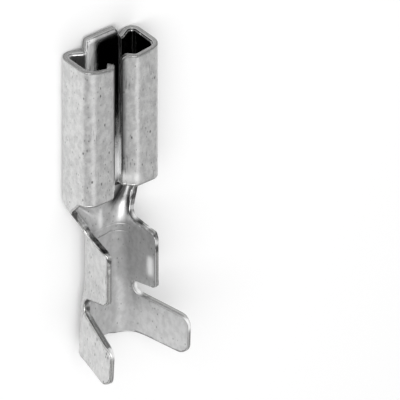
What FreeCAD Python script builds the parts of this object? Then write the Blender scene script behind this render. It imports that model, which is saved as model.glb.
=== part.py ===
# Female spade terminal, folded from one strip of tinned sheet.
# Millimetres. The terminal is drawn lying on its back: X across, Y along its
# length from the wire end, Z up. The last step turns the mouth to -Y and sets
# the origin under the middle of the part.
import FreeCAD, Part

import math
import os

# Strip
sheet_thickness = 0.27
tight_bend = 0.04          # inside radius where the strip is pressed hard
back_bend = 0.15           # inside radius of the folds at the back of the box
roll_bend = 0.22           # inside radius where the faces are rolled over
barrel_bend = 0.42         # inside radius of the folds along the barrels
tail_bend = 0.72           # and at the wire end, where they are rounder

# Stations along the strip, from the tips of the insulation wings
wing_tip_end = 0.0         # lower edge of the insulation wings at their tips
floor_end = 0.28           # cut end of the floor
insulation_tip = 1.80      # upper edge of those wings at their tips
insulation_root = 2.10     # and at the notch
left_conductor_start = 3.06    # lower edges of the conductor wings
right_conductor_start = 2.92
spread_start = 3.30        # the barrels widen from here to the wire end
score_station = 4.90       # first of two score lines
conductor_end = 5.38       # upper edge of the conductor wings
shoulder_end = 5.30        # the strip is narrowest up to here
neck_start = 5.62          # the low walls of the neck run from here
neck_end = 6.48            # to here
shoulder_start = 7.05      # and the strip is as wide as the box from here
pad_start = 7.00           # sheared lower edge of the pad
left_roll_start = 7.44     # lower edges of the rolled faces
right_roll_start = 7.58
mouth = 13.70              # rim of the rolls

# Receptacle
box_width = 3.70
box_height = 1.83          # from the two ridges it lies on to the rolled faces
slot_width = 0.44          # open slot between the two lips
lip_width = 0.40           # pressed band beside the slot
lip_drop = 0.30            # how far the lip sinks below the rolled face
lip_flat = 0.16            # level part of that band, next to the slot
lip_corner = 0.34          # rounding of the lip at the mouth
lead_in = 0.07             # bevel inside the rim
floor_lift = 0.25          # floor of the strip above the ridges
ridge_width = 0.93         # from the side to the deepest line beside the pad
valley_reach = 0.06        # half the length of the bend along that line

# Pad, pressed out of the floor towards the back
pad_gap = 0.12             # from that line to the pad's side
pad_depth = 0.13           # how far it is pressed out
pad_slope = 0.05           # run of its soft sides
pad_reach = 0.40           # how far it stands past the rim
pad_slant = 0.12           # slant of each end of that tongue
pad_cut_corner = 0.22      # lower corner on the left
pad_plain_corner = 0.06    # lower corner on the right

# Channel for the wire
neck_half_width = 1.05
tail_half_width = 1.39
neck_wall = 0.03           # the neck's walls next to the box, above the floor
neck_wall_rise = 0.32      # they are this much higher next to the wings
conductor_height = 2.37
insulation_height = 3.52
insulation_slant = 0.10    # the wings' tips are this much lower at the wire end
notch_floor = 0.82         # the notch between the two pairs of wings stops here
conductor_flare = 8.0      # outward lean of the wings, degrees
insulation_flare = 16.2
tail_flare = 13.0
conductor_thinning = 0.08  # the tips are pressed thinner by this, from outside
conductor_thinning_height = 0.20
insulation_thinning = 0.13
insulation_thinning_height = 0.45
wing_corner = 0.30
upper_tip_corner = 0.40
lower_tip_corner = 0.55
root_corner = 0.50
neck_corner = 0.50
shoulder_corner = 0.25
notch_corner = 0.40
score_depth = 0.03
score_width = 0.08
score_pitch = 0.34
score_rise = 0.80          # the score lines climb the walls this far above the floor

# Aids to drawing
overrun = 1.0              # clearance by which a cutter runs past what it cuts
wedge_margin = 0.30        # and the smaller one of the wedges that thin the wings
nearly_straight = 0.002    # a turn below this, in radians, is drawn straight
slow_start = 1.6           # how strongly the sections crowd where the shoulder leaves the box


def unit(start, end):
    """Direction from one point to another."""
    step = end - start
    step.normalize()
    return step


def left_of(direction):
    """Direction turned a quarter to the left."""
    return FreeCAD.Vector(-direction.y, direction.x, 0)


def moved_corner(before, corner, after, distance):
    """Corner of the path that runs beside the given one, to its left."""
    normal_in = left_of(unit(before, corner))
    normal_out = left_of(unit(corner, after))
    share = 1.0 + normal_in.dot(normal_out)
    return corner + (normal_in + normal_out) * (distance / share)


def side_corners(path, distance):
    """Corners of the whole path moved to its left."""
    first = path[0] + left_of(unit(path[0], path[1])) * distance
    last = path[-1] + left_of(unit(path[-2], path[-1])) * distance
    triples = zip(path, path[1:], path[2:])
    return [first] + [moved_corner(*three, distance) for three in triples] + [last]


def rounded(before, corner, after, radius):
    """Start, middle and end of the arc that rounds a corner."""
    arriving = unit(before, corner)
    leaving = unit(corner, after)
    turn = arriving.getAngle(leaving)
    if turn < nearly_straight:
        return corner - arriving * valley_reach, corner, corner + arriving * valley_reach
    reach = radius * math.tan(turn / 2)
    start = corner - arriving * reach
    end = corner + leaving * reach
    side = 1.0 if arriving.cross(leaving).z > 0 else -1.0
    centre = start + left_of(arriving) * (side * radius)
    middle = centre + unit(centre, corner) * radius
    return start, middle, end


def bend_edges(corners, radii):
    """Straight runs and arcs along a path; a radius of 0 keeps its corner sharp."""
    edges = []
    here = corners[0]
    for index, radius in enumerate(radii, 1):
        if radius == 0:
            edges.append(Part.makeLine(here, corners[index]))
            here = corners[index]
            continue
        start, middle, end = rounded(*corners[index - 1:index + 2], radius)
        edges.append(Part.makeLine(here, start))
        if unit(start, middle).getAngle(unit(middle, end)) < nearly_straight:
            edges.append(Part.makeLine(start, end))
        else:
            edges.append(Part.Arc(start, middle, end).toShape())
        here = end
    edges.append(Part.makeLine(here, corners[-1]))
    return edges


def turns_left(before, corner, after):
    """True where the path turns to its left."""
    return unit(before, corner).cross(unit(corner, after)).z > 0


def side_radii(path, inside_radii, distance):
    """Bend radii on the path's left side, at a distance from its middle line."""
    half = sheet_thickness / 2
    lefts = [turns_left(*three) for three in zip(path, path[1:], path[2:])]
    return [r + half + (-distance if left else distance) for r, left in zip(inside_radii, lefts)]


def side_edges(path, inside_radii, distance):
    """Bent line that runs beside the path, to its left."""
    return bend_edges(side_corners(path, distance), side_radii(path, inside_radii, distance))


def joined(edges):
    """One closed outline from edges in any order."""
    return Part.Wire(Part.__sortEdges__(edges))


def sheet_outline(path, inside_radii):
    """Closed outline of the strip's cut edge, folded along a middle line."""
    half = sheet_thickness / 2
    inner = side_corners(path, half)
    outer = side_corners(path, -half)
    edges = side_edges(path, inside_radii, half) + side_edges(path, inside_radii, -half)
    edges.append(Part.makeLine(inner[0], outer[0]))
    edges.append(Part.makeLine(inner[-1], outer[-1]))
    return joined(edges)


def hollow_outline(path, inside_radii, distance):
    """Outline of the room inside a fold, up to a line beside its middle line."""
    corners = side_corners(path, distance)
    return joined(side_edges(path, inside_radii, distance) + [Part.makeLine(corners[-1], corners[0])])


def across(outline, station):
    """Stands an outline drawn in the plane X, Z up at a station of the strip."""
    standing = outline.copy()
    standing.rotate(FreeCAD.Vector(), FreeCAD.Vector(1, 0, 0), 90)
    standing.translate(FreeCAD.Vector(0, station, 0))
    return standing


def mirrored(half_path):
    """Whole path from its right half, which ends next to the middle."""
    left = [FreeCAD.Vector(-point.x, point.y, 0) for point in half_path]
    return left + half_path[::-1]


def ridge_run(bend, drop):
    """Least distance from a wall to a valley that lies above its ridge by the given drop."""
    middle_radius = bend + sheet_thickness / 2
    slope_run = math.sqrt(middle_radius ** 2 - (middle_radius - drop) ** 2)
    return middle_radius + slope_run + valley_reach


def ridge_corner(half_width, bottom, bend, valley):
    """Where a line from the valley that just touches the fold meets the wall."""
    middle_radius = bend + sheet_thickness / 2
    wall_x = half_width - sheet_thickness / 2
    centre = FreeCAD.Vector(wall_x - middle_radius, bottom + sheet_thickness / 2 + middle_radius)
    across_gap = centre - valley
    rise = math.atan2(across_gap.y, across_gap.x) - math.asin(middle_radius / across_gap.Length)
    return FreeCAD.Vector(wall_x, valley.y + (wall_x - valley.x) * math.tan(rise))


def back_half(half_width, bottom, bend, wall_top):
    """Right half of the back: wall top, fold with the ridge it lies on, valley, and their bends."""
    wall_x = half_width - sheet_thickness / 2
    valley_x = min(box_width / 2 - ridge_width, wall_x - ridge_run(bend, floor_lift - bottom))
    valley = FreeCAD.Vector(valley_x, floor_lift + sheet_thickness / 2)
    corner = ridge_corner(half_width, bottom, bend, valley)
    turn = unit(corner, valley).getAngle(FreeCAD.Vector(-1, 0, 0))
    gentle = valley_reach / math.tan(max(turn, nearly_straight) / 2) - sheet_thickness / 2
    return [wall_top, corner, valley], [bend, gentle]


def box_fold():
    """Middle line and bends of the receptacle, its lips sunk below the rolled faces."""
    top = box_height - sheet_thickness / 2
    lip_end = slot_width / 2
    wall_top = FreeCAD.Vector(box_width / 2 - sheet_thickness / 2, top)
    back, back_radii = back_half(box_width / 2, 0, back_bend, wall_top)
    lip = [
        FreeCAD.Vector(lip_end, top - lip_drop - lip_flat * lip_drop / lip_width),
        FreeCAD.Vector(lip_end + lip_flat, top - lip_drop),
        FreeCAD.Vector(lip_end + lip_width, top),
    ]
    half_radii = [tight_bend, tight_bend, roll_bend] + back_radii
    return mirrored(lip + back), half_radii + half_radii[::-1]


def box_shell():
    """Receptacle as one long extrusion, from the shoulder to the mouth."""
    section = Part.Face(across(sheet_outline(*box_fold()), shoulder_start))
    return section.extrude(FreeCAD.Vector(0, mouth - shoulder_start, 0))


def lead_in_cutter():
    """Slightly flared plug that bevels the inner edge of the rim."""
    path, radii = box_fold()
    half = sheet_thickness / 2
    shrink = tight_bend / 2
    inner = across(hollow_outline(path, radii, half + shrink), mouth - lead_in - shrink)
    outer = across(hollow_outline(path, radii, half - lead_in), mouth)
    return Part.makeLoft([inner, outer], True, True)


def eased(start, end, share):
    """Value between two others that leaves the first and reaches the second level."""
    share = min(max(share, 0.0), 1.0)
    return start + (end - start) * share * share * (3 - 2 * share)


def neck_share(station):
    """How far the shoulder has narrowed at a station, from 0 at the box to 1 at the barrel."""
    return (shoulder_start - station) / (shoulder_start - shoulder_end)


def half_width_at(station):
    """Half the width of the channel over its folds."""
    if station > shoulder_end:
        return eased(box_width / 2, neck_half_width, neck_share(station))
    spread = (tail_half_width - neck_half_width) / (spread_start - wing_tip_end)
    return neck_half_width + spread * max(0.0, spread_start - station)


def flare_at(station):
    """Outward lean of the channel's walls, in degrees."""
    if station > shoulder_end:
        return eased(0, conductor_flare, neck_share(station))
    notch_share = (right_conductor_start - station) / (right_conductor_start - insulation_root)
    tail_share = (insulation_root - station) / (insulation_root - wing_tip_end)
    drop = (insulation_flare - tail_flare) * max(0.0, tail_share)
    return eased(conductor_flare, insulation_flare, notch_share) - drop


def channel_fold(station, wall):
    """Middle line and bends of the open channel at a station, with walls of the given height."""
    bulge = eased(1, 0, neck_share(station))
    bottom = floor_lift * (1 - bulge)
    tail_share = (right_conductor_start - station) / (right_conductor_start - wing_tip_end)
    bend = eased(barrel_bend, tail_bend, tail_share) + (back_bend - barrel_bend) * bulge
    half_width = half_width_at(station)
    lean = math.tan(math.radians(flare_at(station)))
    wall_x = half_width - sheet_thickness / 2
    wall_top = FreeCAD.Vector(wall_x + wall * lean, bottom + sheet_thickness / 2 + wall)
    half, half_radii = back_half(half_width, bottom, bend, wall_top)
    return mirrored(half), half_radii + half_radii[::-1]


def channel_section(station):
    """Outline of the channel's cut edge at a station."""
    return across(sheet_outline(*channel_fold(station, insulation_height + overrun)), station)


def evenly(start, end, count):
    """Evenly spaced values, with both ends."""
    return [start + (end - start) * index / (count - 1) for index in range(count)]


def slowly(start, end, count):
    """Values between two others that leave the first in small steps."""
    return [start + (end - start) * share ** slow_start for share in evenly(0, 1, count)]


def channel():
    """Long channel of the neck and both barrels, before its walls are trimmed."""
    shoulder = slowly(shoulder_start, shoulder_end, 10)
    barrel = evenly(shoulder_end, spread_start, 4)[1:-1]
    notch = evenly(spread_start, insulation_tip, 8)
    tail = evenly(insulation_tip, wing_tip_end - overrun / 2, 6)[1:]
    sections = [channel_section(station) for station in shoulder + barrel + notch + tail]
    return Part.makeLoft(sections, True, False)


def side_outline(conductor_start, roll_start):
    """Outline of the strip seen from the side, which trims every cut edge."""
    neck_low = floor_lift + sheet_thickness + neck_wall
    below = -overrun
    above = insulation_height + overrun
    past = mouth + pad_reach + overrun
    corners = [
        (floor_end, below, 0),
        (floor_end, notch_floor, root_corner),
        (wing_tip_end, insulation_height - insulation_slant, lower_tip_corner),
        (insulation_tip, insulation_height, upper_tip_corner),
        (insulation_root, notch_floor, notch_corner),
        (conductor_start, notch_floor, notch_corner),
        (conductor_start, conductor_height, wing_corner),
        (conductor_end, conductor_height, wing_corner),
        (neck_start, neck_low + neck_wall_rise, neck_corner),
        (neck_end, neck_low, shoulder_corner),
        (roll_start, box_height - roll_bend - sheet_thickness, 0),
        (roll_start, above, 0),
        (past, above, 0),
        (past, below, 0),
        (floor_end, below, 0),
    ]
    points = [FreeCAD.Vector(y, z, 0) for y, z, _ in corners]
    return joined(bend_edges(points, [radius for _, _, radius in corners[1:-1]]))


def side_block(outline, side):
    """Half a block of a side outline, on the left (-1) or the right (1)."""
    outline.rotate(FreeCAD.Vector(), FreeCAD.Vector(1, 0, 0), 90)
    outline.rotate(FreeCAD.Vector(), FreeCAD.Vector(0, 0, 1), 90)
    reach = tail_half_width + insulation_height
    return Part.Face(outline).extrude(FreeCAD.Vector(side * reach, 0, 0))


def side_trimmer():
    """Block as wide as the widest wings, which trims both sides."""
    left = side_block(side_outline(left_conductor_start, left_roll_start), -1)
    right = side_block(side_outline(right_conductor_start, right_roll_start), 1)
    return left.fuse(right).removeSplitter()


def wall_x_at(station, height):
    """How far out the outer face of the right wall lies at a station and height."""
    path, _ = channel_fold(station, insulation_height + overrun)
    foot, top = side_corners(path, -sheet_thickness / 2)[-2:]
    return foot.x + (top.x - foot.x) * (height - foot.y) / (top.y - foot.y)


def wedge_outline(station, height, depth, run, side):
    """Wedge outside a wing's tip, whose slanted side is the thinned face."""
    low = FreeCAD.Vector(wall_x_at(station, height - run), height - run)
    high = FreeCAD.Vector(wall_x_at(station, height) - depth, height)
    start = low - (high - low)
    end = high + (high - low)
    corners = [start, end, end + FreeCAD.Vector(overrun, 0), start + FreeCAD.Vector(overrun, 0), start]
    return across(Part.makePolygon([FreeCAD.Vector(side * p.x, p.y) for p in corners]), station)


def tip_wedges(start, end, height, depth, run):
    """Wedges that thin the tips of one pair of wings from outside."""
    cutters = []
    for side in (-1, 1):
        ends = [wedge_outline(station, height, depth, run, side) for station in (start, end)]
        cutters.append(Part.makeLoft(ends, True, True))
    return cutters


def all_wedges():
    """Tip wedges of both pairs of wings."""
    insulation = tip_wedges(wing_tip_end - wedge_margin, insulation_root, insulation_height,
                            insulation_thinning, insulation_thinning_height)
    conductor = tip_wedges(right_conductor_start - wedge_margin, conductor_end + wedge_margin,
                           conductor_height, conductor_thinning, conductor_thinning_height)
    return insulation + conductor


def pad_half_width():
    """Half the width of the pad's flat face."""
    return box_width / 2 - ridge_width - pad_gap


def pad_plan():
    """Pad seen from the back: cut lower corners and a slanted tongue."""
    half = pad_half_width() + pad_slope
    top = mouth + pad_reach
    plan = [
        (-half + pad_cut_corner, pad_start),
        (half - pad_plain_corner, pad_start),
        (half, pad_start + pad_plain_corner),
        (half, mouth),
        (half - pad_slant, top),
        (-half + pad_slant, top),
        (-half, mouth),
        (-half, pad_start + pad_cut_corner),
        (-half + pad_cut_corner, pad_start),
    ]
    outline = Part.makePolygon([FreeCAD.Vector(x, y, -overrun) for x, y in plan])
    return Part.Face(outline).extrude(FreeCAD.Vector(0, 0, overrun + box_height))


def pad_prism(low, high):
    """Long bar with soft sides, cut to the pad's plan."""
    half = pad_half_width()
    section = Part.makePolygon([
        FreeCAD.Vector(-half, 0, low),
        FreeCAD.Vector(half, 0, low),
        FreeCAD.Vector(half + pad_slope, 0, high),
        FreeCAD.Vector(-half - pad_slope, 0, high),
        FreeCAD.Vector(-half, 0, low),
    ])
    bar = Part.Face(section).extrude(FreeCAD.Vector(0, mouth + pad_reach - pad_start, 0))
    bar.translate(FreeCAD.Vector(0, pad_start, 0))
    return bar.common(pad_plan())


def pad_plate():
    """Pressed plate, as thick as the strip, its tongue bevelled like the rim."""
    low = floor_lift - pad_depth
    high = low + sheet_thickness
    top = mouth + pad_reach
    bevel = Part.makePolygon([
        FreeCAD.Vector(0, top - 2 * lead_in, high),
        FreeCAD.Vector(0, top, high - lead_in),
        FreeCAD.Vector(0, top, high),
        FreeCAD.Vector(0, top - 2 * lead_in, high),
    ])
    wedge = Part.Face(bevel).extrude(FreeCAD.Vector(box_width, 0, 0))
    wedge.translate(FreeCAD.Vector(-box_width / 2, 0, 0))
    return pad_prism(low, high).cut(wedge)


def pad_pocket():
    """Hollow that the pressed plate leaves on the inside of the floor."""
    low = floor_lift - pad_depth + sheet_thickness
    return pad_prism(low, low + pad_depth)


def lip_corner_cutters():
    """Cutters that round the lips' corners at the mouth."""
    cutters = []
    for side in (-1, 1):
        edge = side * slot_width / 2
        foot = mouth - lip_corner
        centre = FreeCAD.Vector(edge + side * lip_corner, foot)
        bow = FreeCAD.Vector(-side * math.sqrt(0.5), math.sqrt(0.5)) * lip_corner
        start = FreeCAD.Vector(edge, foot)
        end = FreeCAD.Vector(centre.x, mouth)
        middle_x = edge - side * slot_width / 4
        corners = [end, FreeCAD.Vector(centre.x, mouth + overrun), FreeCAD.Vector(middle_x, mouth + overrun),
                   FreeCAD.Vector(middle_x, foot), start]
        edges = [Part.Arc(start, centre + bow, end).toShape()]
        edges += [Part.makeLine(a, b) for a, b in zip(corners, corners[1:])]
        cutter = Part.Face(joined(edges)).extrude(FreeCAD.Vector(0, 0, box_height))
        cutter.translate(FreeCAD.Vector(0, 0, box_height / 2))
        cutters.append(cutter)
    return cutters


def score_cutters():
    """Two thin slices of the channel's hollow, a little larger than the hollow itself."""
    slices = []
    for station in (score_station, score_station + score_pitch):
        path, radii = channel_fold(station, score_rise)
        outline = hollow_outline(path, radii, sheet_thickness / 2 - score_depth)
        slices.append(Part.Face(across(outline, station)).extrude(FreeCAD.Vector(0, score_width, 0)))
    return slices


def terminal():
    """The folded strip in one solid."""
    folded = box_shell().fuse(channel()).common(side_trimmer())
    pressed = folded.cut([pad_pocket(), lead_in_cutter()]).fuse(pad_plate())
    return pressed.cut(lip_corner_cutters() + score_cutters() + all_wedges())


def laid_down(shape):
    """Turns the mouth to -Y and puts the origin under the middle of the part."""
    shape.rotate(FreeCAD.Vector(), FreeCAD.Vector(0, 0, 1), 180)
    box = shape.optimalBoundingBox(False, False)
    shape.translate(FreeCAD.Vector(-(box.XMin + box.XMax) / 2, -(box.YMin + box.YMax) / 2, -box.ZMin))
    return shape


os.makedirs("parts", exist_ok=True)
body = laid_down(terminal())
print("valid", body.isValid(), "solids", len(body.Solids), "volume", round(body.Volume, 2))
print("box", body.optimalBoundingBox(False, False))
body.exportStep("parts/terminal_body.step")
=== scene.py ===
import math

import bpy
import numpy as np
from mathutils import Matrix, Vector
from mathutils.geometry import delaunay_2d_cdt


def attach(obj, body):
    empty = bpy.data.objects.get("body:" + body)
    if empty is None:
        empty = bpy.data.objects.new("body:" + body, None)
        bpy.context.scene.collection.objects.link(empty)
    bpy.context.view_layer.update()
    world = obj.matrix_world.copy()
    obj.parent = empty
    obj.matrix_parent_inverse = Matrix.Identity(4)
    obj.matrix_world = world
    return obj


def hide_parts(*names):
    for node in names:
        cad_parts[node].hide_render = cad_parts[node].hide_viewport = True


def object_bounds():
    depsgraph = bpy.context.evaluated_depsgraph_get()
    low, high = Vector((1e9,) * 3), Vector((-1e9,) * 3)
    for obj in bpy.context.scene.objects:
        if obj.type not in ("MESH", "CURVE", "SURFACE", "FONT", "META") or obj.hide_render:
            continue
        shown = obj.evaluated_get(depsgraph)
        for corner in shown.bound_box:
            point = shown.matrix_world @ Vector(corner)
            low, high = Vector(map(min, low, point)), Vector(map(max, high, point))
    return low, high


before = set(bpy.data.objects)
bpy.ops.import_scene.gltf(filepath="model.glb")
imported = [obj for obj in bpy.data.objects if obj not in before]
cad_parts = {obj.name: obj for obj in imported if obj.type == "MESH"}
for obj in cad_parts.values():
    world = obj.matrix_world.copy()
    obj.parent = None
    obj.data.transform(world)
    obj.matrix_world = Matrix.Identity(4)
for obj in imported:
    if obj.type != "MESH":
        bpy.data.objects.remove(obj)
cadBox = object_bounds()

# The folded strip, in millimetres. s runs along it from the wire end, x across, z up from the floor it lies
# on.
strip = {
    "thickness": 0.27,
    # inner radii of the bends
    "backBend": 0.15, "rollBend": 0.22, "creaseBend": 0.12, "lipBend": 0.30,
    "barrelBend": 0.52, "tailBend": 0.76,
    # stations
    "wingTipEnd": 0.0, "floorEnd": 0.28, "insulationTip": 1.80, "insulationRoot": 2.10,
    "conductorStart": {"left": 3.06, "right": 2.92}, "spreadStart": 3.30, "conductorEnd": 5.38,
    "shoulderEnd": 5.30, "neckStart": 5.62, "neckEnd": 6.60, "shoulderStart": 7.05, "narrowStart": 7.26,
    "padStart": 7.00, "rollStart": {"left": 7.44, "right": 7.58}, "rollMargin": 0.05, "mouth": 13.70,
    # section of the receptacle
    "boxWidth": 3.70, "boxHeight": 1.83, "slotWidth": 0.44, "lipWidth": 0.40, "lipDrop": 0.30,
    "lipFlat": 0.16, "lipCorner": 0.34, "floorLift": 0.25, "ridgeWidth": 0.93, "valleyReach": 0.06,
    # half widths and heights of the barrels
    "neckHalfWidth": 1.05, "tailHalfWidth": 1.39, "neckWall": 0.03, "neckWallRise": 0.32,
    "conductorHeight": 2.36, "insulationHeight": 3.488, "insulationSlant": 0.10, "notchFloor": 0.82,
    # how far the walls lean outward, in degrees, and the height that this is measured over
    "conductorFlare": 8.0, "insulationFlare": 16.2, "tailFlare": 13.0, "wallTop": 4.52,
    # the wire end: how hollow its edge is, where it meets the wing, and how far the wing's corners stand
    # back
    "floorHollow": 0.15, "floorEndHeight": 0.45, "rootHeight": 1.40, "rootInset": 0.16, "tipInset": 0.07,
    # rounding of the outline's corners
    "wingCorner": 0.30, "upperTipCorner": 0.40, "lowerTipCorner": 0.55, "rootCorner": 0.50,
    "neckCorner": 0.50, "shoulderCorner": 0.25,
}

# What the press leaves on the strip, in millimetres
pressMarks = {
    "padHalfWidth": 0.80, "padSlope": 0.05, "padDepth": 0.13, "padReach": 0.40, "padSlant": 0.12,
    "padCutCorner": 0.22, "padPlainCorner": 0.06, "tongueCorner": 0.05, "leadIn": 0.07,
    "padInset": 0.02, "padSideBend": 0.09, "padShear": 0.03, "tongueMargin": 0.005,
    "padFold": 1.6,                                   # the pad is pressed out up to this fold coordinate
    "rimSlant": {"left": 0.21, "right": 0.10},        # how far the rim falls back towards the lip
    "rimInset": 0.02, "rimJoin": 0.15,                # where the rim's fall ends, and meets the wall
    "rimFallStart": 0.1, "rimFallCut": 0.3,           # it starts this far past the wall, over a shorter run
    "notchLean": {"left": 0.42, "right": 0.20},       # how far the wing's lower edge leans back at its foot
    "notchLift": {"left": 0.12, "right": 0.15}, "notchRound": 0.26,
    "lowCorner": 0.12,                                # rounding of the lip's lower corner
    "scoreStation": 4.90, "scorePitch": 0.34, "scoreWidth": 0.06, "scoreDepth": 0.014,
    "scoreShare": 0.6,                                # half width of a score as a share of its width
    "scoreRise": 0.80, "scoreFade": 0.6,              # height where the scores start to fade, and over which
    "conductorThinning": 0.08, "conductorThinningHeight": 0.20,
    "insulationThinning": 0.13, "insulationThinningHeight": 0.45,
    "tailThinnedTo": 0.2, "wingThinnedFrom": 0.5,     # measured from the root of the insulation wings
    "thinningPower": 1.1,
    "rollOver": 0.050,                                # rounding of the cut edge on the outer side
    "burrSide": 0.022,                                # and on the inner side
    "tornRecess": 0.010, "tornFrom": 0.4, "tornRun": 0.2,      # the torn part of the cut face stands back
}

# The net of points on the strip: spacings in millimetres, and extra lines where the sheet changes quickly
netSteps = {
    "sheet": 0.070, "edge": 0.045, "rollTable": 0.012, "arc": 4, "floorEnd": 60, "rimCorner": 14, "rim": 18,
    "lowCorner": 6, "edgeClearance": 0.018, "lineClearance": 0.016, "atOnce": 2000,
    "pad": (-0.035, -0.012, 0.012, 0.035), "padSide": (-0.03, -0.01, 0.01, 0.03, 0.05), "padGap": 0.03,
    "score": (-0.06, -0.04, -0.02, 0.0, 0.02, 0.04, 0.06), "mouth": (0.075, 0.05, 0.03),
    # fold coordinates along the mouth, and from the valley to the roll
    "mouthRuns": ((4, 3, 12), (3, 2, 10), (2, 1.02, 5)),
    "valley": (1.25, 1.5, 1.75, 2.0), "slope": (0.14, 7), "fold": (0.1, 10), "wall": 17, "roll": 40,
    "highest": 7.6, "cutFace": (0.3, 0.4, 0.5, 0.6, 0.8),
}


def eased(start, end, share):
    # start + (end - start) * (3 a^2 - 2 a^3), with a the share held between 0 and 1
    a = np.clip(share, 0.0, 1.0)
    return start + (end - start) * a * a * (3 - 2 * a)


def shareDown(s, start, end):
    # how far a station has come from the start down to the end: (start - s) / (start - end)
    return (start - s) / (start - end)


def foldAt(s):
    # the right half of the middle line at each station: where the floor ends, the valley, the slope to the
    # ridge, the round fold and the foot and direction of the wall. The slope touches the circle of the fold,
    # and the wall leaves it, so the angles follow from the places of valley and circle.
    c, t = strip, strip["thickness"]
    tail = c["conductorStart"]["right"]
    share = shareDown(s, c["shoulderStart"], c["shoulderEnd"])
    bulge = eased(1, 0, share)
    bottom = c["floorLift"] * (1 - bulge)
    bend = eased(c["barrelBend"], c["tailBend"], shareDown(s, tail, c["wingTipEnd"]))
    radius = bend + (c["backBend"] - c["barrelBend"]) * bulge + t / 2
    spread = (c["tailHalfWidth"] - c["neckHalfWidth"]) / (c["spreadStart"] - c["wingTipEnd"])
    halfWidth = eased(c["boxWidth"] / 2, c["neckHalfWidth"], shareDown(s, c["narrowStart"], c["shoulderEnd"]))
    halfWidth = halfWidth + spread * np.maximum(0.0, c["spreadStart"] - s)
    lowFlare = eased(c["conductorFlare"], c["insulationFlare"], shareDown(s, tail, c["insulationRoot"]))
    tailShare = np.maximum(0.0, shareDown(s, c["insulationRoot"], c["wingTipEnd"]))
    lowFlare = lowFlare - (c["insulationFlare"] - c["tailFlare"]) * tailShare
    lean = np.tan(np.radians(np.where(s > c["shoulderEnd"], eased(0, c["conductorFlare"], share), lowFlare)))
    wallX = halfWidth - t / 2
    drop = c["floorLift"] - bottom
    ridgeRun = radius + np.sqrt(np.maximum(radius ** 2 - (radius - drop) ** 2, 0)) + c["valleyReach"]
    valleyX = np.minimum(c["boxWidth"] / 2 - c["ridgeWidth"], wallX - ridgeRun)
    valleyZ = c["floorLift"] + t / 2
    gapX, gapZ = wallX - radius - valleyX, bottom + t / 2 + radius - valleyZ
    rise = np.arctan2(gapZ, gapX) - np.arcsin(radius / np.hypot(gapX, gapZ))
    cornerZ = valleyZ + (wallX - valleyX) * np.tan(rise)
    wallAngle = np.arctan2(bottom + t / 2 + c["wallTop"] - cornerZ, c["wallTop"] * lean)
    reach = radius * np.tan((wallAngle - rise) / 2)
    startX, startZ = wallX - np.cos(rise) * reach, cornerZ - np.sin(rise) * reach
    return {
        "valleyX": valleyX, "valleyZ": valleyZ + 0 * s, "rise": rise, "radius": radius,
        "wallAngle": wallAngle, "startX": startX, "startZ": startZ,
        "centreX": startX - np.sin(rise) * radius, "centreZ": startZ + np.cos(rise) * radius,
        "footX": wallX + np.cos(wallAngle) * reach, "footZ": cornerZ + np.sin(wallAngle) * reach,
    }


def distinct(points, gap):
    # the line without the points that stand closer than the gap to the one before
    return points[np.append(True, np.linalg.norm(np.diff(points, axis=0), axis=1) > gap)]


def evenPath(points, step):
    # the same line with extra points on its long runs: a run gets as many parts as steps fit into it,
    # rounded up, where the last twentieth of a step doesn't count
    gaps = np.linalg.norm(np.diff(points, axis=0), axis=1)
    counts = np.maximum(1, np.ceil(gaps / step - 0.05)).astype(int)
    starts = np.repeat(points[:-1], counts, axis=0)
    steps = np.repeat(np.diff(points, axis=0) / counts[:, None], counts, axis=0)
    order = np.arange(counts.sum()) - np.repeat(np.cumsum(counts) - counts, counts)
    return np.vstack([starts + steps * order[:, None], points[-1:]])


def roundedPath(corners, radii, step):
    # straight runs joined by arcs of the given radii (0 keeps a corner), with points a step apart at most.
    # An arc starts radius * tan(turn / 2) before its corner.
    corners = np.array(corners, float)
    pieces = [corners[:1]]
    for i, radius in enumerate(radii, 1):
        arriving = corners[i] - corners[i - 1]
        leaving = corners[i + 1] - corners[i]
        arriving, leaving = arriving / np.linalg.norm(arriving), leaving / np.linalg.norm(leaving)
        turn = math.atan2(arriving[0] * leaving[1] - arriving[1] * leaving[0], arriving @ leaving)
        if radius == 0 or abs(turn) < 1e-4:
            pieces.append(corners[i:i + 1])
            continue
        reach = radius * math.tan(abs(turn) / 2)
        side = math.copysign(1, turn)
        normal = side * np.array([-arriving[1], arriving[0]])
        a = np.linspace(0, abs(turn), max(3, int(abs(turn) * radius / step) + 2))[:, None]
        start = corners[i] - arriving * reach
        pieces.append(start + arriving * radius * np.sin(a) + normal * radius * (1 - np.cos(a)))
    pieces.append(corners[-1:])
    return evenPath(np.vstack(pieces), step)


def rolledTable():
    # the middle line of the rolled face and its lip, from the top of the wall inwards: length along it, x,
    # z, slope
    c, t = strip, strip["thickness"]
    top = c["boxHeight"] - t / 2
    wallX = c["boxWidth"] / 2 - t / 2
    edge = c["slotWidth"] / 2
    corners = [(wallX, top - c["rollBend"] - t / 2), (wallX, top), (edge + c["lipWidth"], top),
               (edge + c["lipFlat"], top - c["lipDrop"]),
               (edge, top - c["lipDrop"] - c["lipFlat"] * c["lipDrop"] / c["lipWidth"])]
    radii = [c["rollBend"] + t / 2, c["creaseBend"] + t / 2, c["lipBend"] + t / 2]
    line = distinct(roundedPath(corners, radii, netSteps["rollTable"]), 1e-6)
    length = np.append(0, np.cumsum(np.linalg.norm(np.diff(line, axis=0), axis=1)))
    slope = np.gradient(line, length, axis=0)
    return length, line, slope / np.linalg.norm(slope, axis=1)[:, None]


rollLength, rollLine, rollSlope = rolledTable()
boxFold = {key: float(value) for key, value in foldAt(np.array(strip["mouth"])).items()}
floorHalf = boxFold["valleyX"] - strip["valleyReach"]
rollFoot = 4 + rollLine[0, 1] - boxFold["footZ"]      # fold coordinate where the wall starts to roll over
rollEnd = rollFoot + rollLength[-1]


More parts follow.
